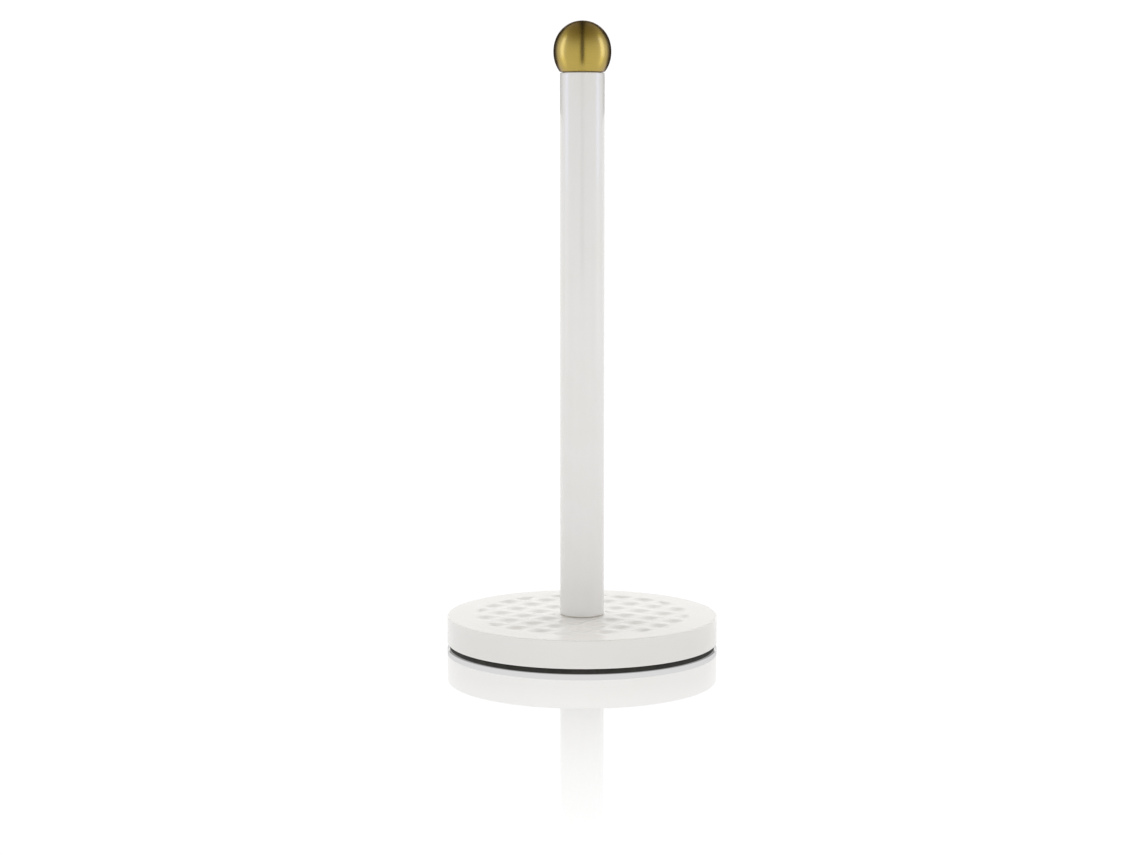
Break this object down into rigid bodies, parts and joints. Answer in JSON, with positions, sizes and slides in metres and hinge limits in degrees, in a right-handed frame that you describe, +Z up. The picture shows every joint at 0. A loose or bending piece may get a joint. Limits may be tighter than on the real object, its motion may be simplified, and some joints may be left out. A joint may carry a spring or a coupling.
{
  "type": "paper towel holder",
  "caption": "Countertop paper towel holder: a weighted round base with a dimpled top, an upright pole screwed into it, and a screw-on ball finial at the top.",
  "frame": {"origin": "on the pole's axis, on the underside of the pad, which stands on the counter", "axes": "+Z up along the pole; +X and +Y lie in the counter, the dimple grid is turned 32 degrees clockwise from them seen from above"},
  "size_m": [0.1536, 0.1536, 0.3536],
  "materials": {
    "white_paint": "satin white powder coat",
    "satin_brass": "satin, lightly brushed round the axis",
    "turned_brass": "as turned",
    "zinc_steel": "zinc plated",
    "cast_iron": "rough, dipped black",
    "rubber_pad": "matt",
    "nylon": "natural, translucent grey white"
  },
  "bodies": {
    "base": {"base_shell": "white_paint", "ballast_disc": "cast_iron", "base_hub": "zinc_steel", "hub_washer": "zinc_steel", "hub_nut": "zinc_steel", "bottom_plate": "zinc_steel", "bottom_plate_screw_1": "zinc_steel", "bottom_plate_screw_2": "zinc_steel", "bottom_plate_screw_3": "zinc_steel", "non_slip_pad": "rubber_pad"},
    "foot_ring": {"foot_ring": "nylon"},
    "pole": {"pole_tube": "white_paint", "lower_plug": "zinc_steel", "upper_plug": "zinc_steel", "pole_stud": "zinc_steel", "finial_stud": "zinc_steel"},
    "finial_washer": {"finial_washer": "nylon"},
    "finial": {"finial_shell": "satin_brass", "finial_insert": "turned_brass"}
  },
  "joints": [
    {"name": "pole_rise", "type": "slide", "parent": "base", "child": "foot_ring", "axis": [0, 0, 1], "range_m": [0, 0.011]},
    {"name": "pole_turn", "type": "hinge", "parent": "foot_ring", "child": "pole", "pos_m": [0, 0, 0.0193], "axis": [0, 0, 1], "range_deg": [0, 3168.1]},
    {"name": "finial_rise", "type": "slide", "parent": "pole", "child": "finial_washer", "axis": [0, 0, 1], "range_m": [0, 0.01]},
    {"name": "finial_turn", "type": "hinge", "parent": "finial_washer", "child": "finial", "pos_m": [0, 0, 0.3251], "axis": [0, 0, 1], "range_deg": [0, 3600.1]}
  ],
  "couplings": [
    {"joint": "pole_turn", "follows": "pole_rise", "rad_per_m": 5026.5},
    {"joint": "finial_turn", "follows": "finial_rise", "rad_per_m": 6283.2}
  ]
}
